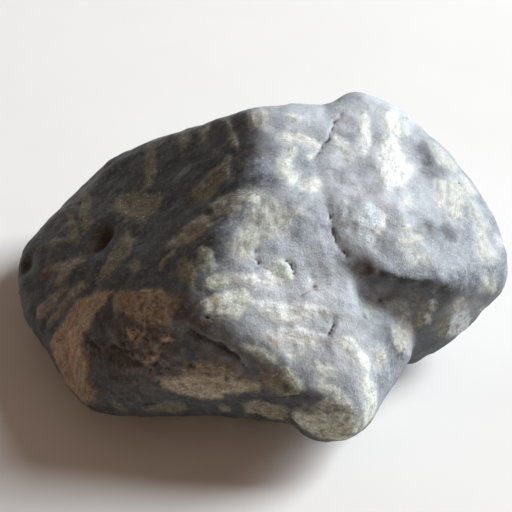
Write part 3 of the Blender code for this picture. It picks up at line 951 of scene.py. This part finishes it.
class Porphyry(Nodes):
    """The stone's material. Its ramps turn levels of noise, or of what the skin carries, into shares."""

    def __init__(self, material):
        super().__init__(material)
        self.grain = self.noise(0.42, 4.0, 0.65)
        self.mottle = self.noise(1.3, 5.0, 0.65)
        self.streaks = self.noise(2.4, 4.0, 0.6, 1.2)
        self.pale = self.attribute("pale")
        self.pallor_and_sheen = self.attribute("pallor_and_sheen")
        # The share of the matrix painted with the lit side's sheen.
        self.lit_sheen = self.ramp(self.plus(self.pale, self.spread_noise(1.6, 0.5)), 0.1, 0.9)
        self.edge = self.plus(self.attribute("inside"), self.spread_noise(1.2, 1.0))

    def crystal(self):
        """From 0 in the matrix to 1 in a crystal, with soft and broken edges."""
        softness = self.mix_value(self.pale, 0.85, 1.05)
        soft_edge = self.ramp(self.edge, self.times(softness, -1.0), softness)
        breaks = self.noise(1.0, 5.0, 0.7)
        return self.times(soft_edge, self.ramp(breaks, 0.34, 0.52, 0.6, 1.0))

    def dark_matrix(self, patches):
        dark = self.mix(self.ramp(patches, 0.3, 0.7), *DARK_GROUND)
        dark = self.mix(self.ramp(self.mottle, 0.42, 0.75, 0.0, 0.5), dark, DARK_MOTTLE)
        reddened = self.times(self.attribute("broken"), self.ramp(self.streaks, 0.40, 0.58, 0.35, 0.9))
        return self.mix(reddened, dark, self.mix(self.ramp(self.mottle, 0.40, 0.62), *BROKEN_GROUND))

    # The matrix as painted where the sheen falls: paler and bluer than the dark one.
    def pale_matrix(self, patches):
        pale = self.mix(self.ramp(patches, 0.35, 0.65), *PALE_GROUND)
        pale = self.mix(self.ramp(self.mottle, 0.46, 0.70, 0.0, 0.6), pale, PALE_LIGHT)
        pale = self.mix(self.ramp(self.mottle, 0.46, 0.34, 0.0, 0.6), pale, PALE_SHADE)
        pale = self.mix(self.ramp(self.grain, 0.48, 0.64, 0.0, 0.45), pale, PALE_GRAIN)
        return self.mix(self.ramp(self.grain, 0.50, 0.36, 0.0, 0.45), pale, PALE_SHADE)

    def matrix(self):
        patches = self.noise(4.5, 3.0, 0.55)
        matrix = self.mix(self.lit_sheen, self.dark_matrix(patches), self.pale_matrix(patches))
        # Painted sheen and light, and the matrix's own paler patches, streaked.
        pallor_and_sheen_share = self.times(self.pallor_and_sheen, self.ramp(self.streaks, 0.34, 0.58, 0.7, 1.0))
        matrix = self.mix(pallor_and_sheen_share, matrix, PALLOR_AND_SHEEN_GROUND)
        # The halo round the crystals shows only where the sheen is painted, and the specks are paler there.
        halo = self.ramp(self.plus(self.edge, self.spread_noise(1.1, 1.2)), -2.2, 0.2)
        matrix = self.mix(self.times(self.times(halo, self.lit_sheen), 0.42), matrix, HALO)
        speckled = self.ramp(self.noise(0.9, 2.0, 0.6), 0.58, 0.66)
        speckled = self.times(speckled, self.ramp(self.lit_sheen, 0.0, 0.8, 0.35, 0.22))
        return self.mix(speckled, matrix, self.mix(self.lit_sheen, *SPECKS))

    def tint(self):
        """A crystal's own tint, with fibres along it, browned in patches away from the painted sheen, and
        with painted glints.
        """
        contrast = self.mix_value(self.lit_sheen, 1.0, 0.6)
        fibres = self.noise(0.55, 3.0, 0.6, 0.4, FIBRE_STRETCH, self.attribute("lay", "Vector"))
        lined = self.times(self.ramp(fibres, 0.54, 0.36, 0.0, 0.6), contrast)
        tint = self.mix(lined, self.attribute("crystal_colour", "Color"), FIBRE_SHADE, "MULTIPLY")
        tint = self.mix(self.ramp(fibres, 0.54, 0.66, 0.0, 0.4), tint, FIBRE_LIGHT, "MULTIPLY")
        grains = self.times(self.ramp(self.grain, 0.50, 0.36, 0.0, 0.5), contrast)
        tint = self.mix(grains, tint, GRAIN_SHADE, "MULTIPLY")
        tint = self.mix(self.ramp(self.streaks, 0.46, 0.62, 0.0, 0.6), tint, STREAK_LIGHT, "MULTIPLY")
        browned = self.ramp(self.noise(1.7, 4.0, 0.6), 0.46, 0.62, 0.0, 0.7)
        away_from_sheen = self.math("SUBTRACT", 1.0, self.math("MAXIMUM", self.lit_sheen, self.pallor_and_sheen))
        tint = self.mix(self.times(browned, away_from_sheen), tint, BROWNED, "MULTIPLY")
        mottling = self.times(self.ramp(self.mottle, 0.50, 0.36, 0.0, 0.6), contrast)
        tint = self.mix(mottling, tint, MOTTLE_SHADE, "MULTIPLY")
        # Painted glints: bright specks on the crystals, stronger where the sheen is painted.
        painted_glint = self.ramp(self.noise(0.42, 1.0, 0.5), 0.655, 0.73)
        return self.mix(self.times(painted_glint, self.mix_value(self.lit_sheen, 0.4, 0.7)), tint, PAINTED_GLINT)

    def stained(self, colour):
        """The colour with rust over it, patchy except where the rust is strongest."""
        rusty = self.attribute("rust")
        patchy = self.ramp(self.noise(1.8, 5.0, 0.65), 0.35, 0.62)
        stain = self.times(rusty, self.math("MAXIMUM", patchy, self.ramp(rusty, 0.88, 1.0)))
        rust = self.mix(self.ramp(self.mottle, 0.38, 0.62), *RUST)
        return self.mix(self.times(stain, 0.8), colour, rust)

    def finish(self):
        """Joins the colour, roughness and fine bump to the shader."""
        crystal = self.crystal()
        colour = self.stained(self.mix(crystal, self.matrix(), self.tint()))
        # Cracks, pits and crevices are painted nearly black: dirt, and the shade inside them.
        dirt_and_shade = self.ramp(self.plus(self.attribute("crack"), self.spread_noise(0.4, 0.45)), 1.3, 0.4)
        colour = self.mix(self.times(dirt_and_shade, 0.85), colour, DIRT_AND_CRACK_SHADE)
        self.link(colour, self.shader.inputs["Base Color"])
        on_matrix = self.ramp(self.grain, 0.3, 0.7, 0.42, 0.60)
        on_crystal = self.ramp(self.grain, 0.3, 0.7, 0.38, 0.70)
        roughness = self.plus(self.mix_value(crystal, on_matrix, on_crystal), self.times(dirt_and_shade, 0.2))
        self.link(roughness, self.shader.inputs["Roughness"])
        self.shader.inputs["Specular IOR Level"].default_value = 0.45
        coarse = self.bump(self.mottle, 0.16, 0.8)
        self.link(self.bump(self.grain, 0.10, 0.9, coarse), self.shader.inputs["Normal"])


def porphyry():
    material = bpy.data.materials.new("porphyry")
    Porphyry(material).finish()
    return material


def paper():
    material = bpy.data.materials.new("paper")
    nodes = Nodes(material)
    tone = nodes.ramp(nodes.noise(30.0, 2.0), 0.3, 0.7)
    nodes.link(nodes.mix(tone, *PAPER), nodes.shader.inputs["Base Color"])
    nodes.shader.inputs["Roughness"].default_value = 0.9
    return material


def table():
    shape = bmesh.new()
    bmesh.ops.create_grid(shape, x_segments=2, y_segments=2, size=TABLE_HALF)
    mesh = bpy.data.meshes.new("table")
    shape.to_mesh(mesh)
    shape.free()
    floor = bpy.data.objects.new("table", mesh)
    floor.data.materials.append(paper())
    bpy.context.scene.collection.objects.link(floor)
    floor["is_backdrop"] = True


def window():
    """A wide, soft light above, behind and to the right."""
    light = bpy.data.lights.new("window", "AREA")
    light.shape = "ELLIPSE"
    light.size, light.size_y = WINDOW_SIZE
    light.energy = WINDOW_POWER
    light.color = WINDOW_COLOUR
    lamp = bpy.data.objects.new("window", light)
    direction = Vector(WINDOW_WAY).normalized()
    lamp.location = direction * WINDOW_AWAY + AIM * MM
    lamp.rotation_euler = direction.to_track_quat("Z", "Y").to_euler()
    bpy.context.scene.collection.objects.link(lamp)


def room():
    """Dim light from all round, cool on one side and warm on the other."""
    world = bpy.data.worlds.new("room")
    world.use_nodes = True
    tree = world.node_tree
    way = tree.nodes.new("ShaderNodeTexCoord").outputs["Generated"]
    facing = tree.nodes.new("ShaderNodeVectorMath")
    facing.operation = "DOT_PRODUCT"
    facing.inputs[1].default_value = WARM_WAY
    tree.links.new(way, facing.inputs[0])
    share = tree.nodes.new("ShaderNodeMapRange")
    share.inputs["From Min"].default_value, share.inputs["From Max"].default_value = WARM_SPAN
    tree.links.new(facing.outputs["Value"], share.inputs["Value"])
    walls = tree.nodes.new("ShaderNodeMix")
    walls.data_type = "RGBA"
    for socket, wall in zip(MIX_COLOURS, (COOL_WALL, WARM_WALL)):
        walls.inputs[socket].default_value = (*wall, 1.0)
    tree.links.new(share.outputs["Result"], walls.inputs[0])
    background = tree.nodes["Background"]
    tree.links.new(walls.outputs[MIXED_COLOUR], background.inputs["Color"])
    background.inputs["Strength"].default_value = ROOM_STRENGTH
    bpy.context.scene.world = world
    bpy.context.scene.view_settings.view_transform = "Standard"


def camera():
    lens = bpy.data.cameras.new("camera")
    lens.sensor_width = SENSOR
    lens.lens = FOCAL / PICTURE * SENSOR
    viewer = bpy.data.objects.new("camera", lens)
    viewer.location = EYE * MM
    viewer.rotation_euler = (math.pi / 2 - ELEVATION, 0.0, 0.0)
    bpy.context.scene.collection.objects.link(viewer)
    bpy.context.scene.camera = viewer


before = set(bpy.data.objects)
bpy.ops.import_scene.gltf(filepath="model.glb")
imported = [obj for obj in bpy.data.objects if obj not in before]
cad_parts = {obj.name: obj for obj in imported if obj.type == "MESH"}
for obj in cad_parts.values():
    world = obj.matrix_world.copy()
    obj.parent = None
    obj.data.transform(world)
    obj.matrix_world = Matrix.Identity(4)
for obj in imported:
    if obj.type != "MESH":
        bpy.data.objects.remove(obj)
cad_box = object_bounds()
stone = build_skin(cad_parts["stone"])
stone.data.materials.clear()
stone.data.materials.append(porphyry())
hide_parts("stone")
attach(stone, "root")
table()
window()
room()
camera()
({
        name: [list(corner) for corner in box]
        for name, box in (("cad", cad_box), ("visual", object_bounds()))
    })
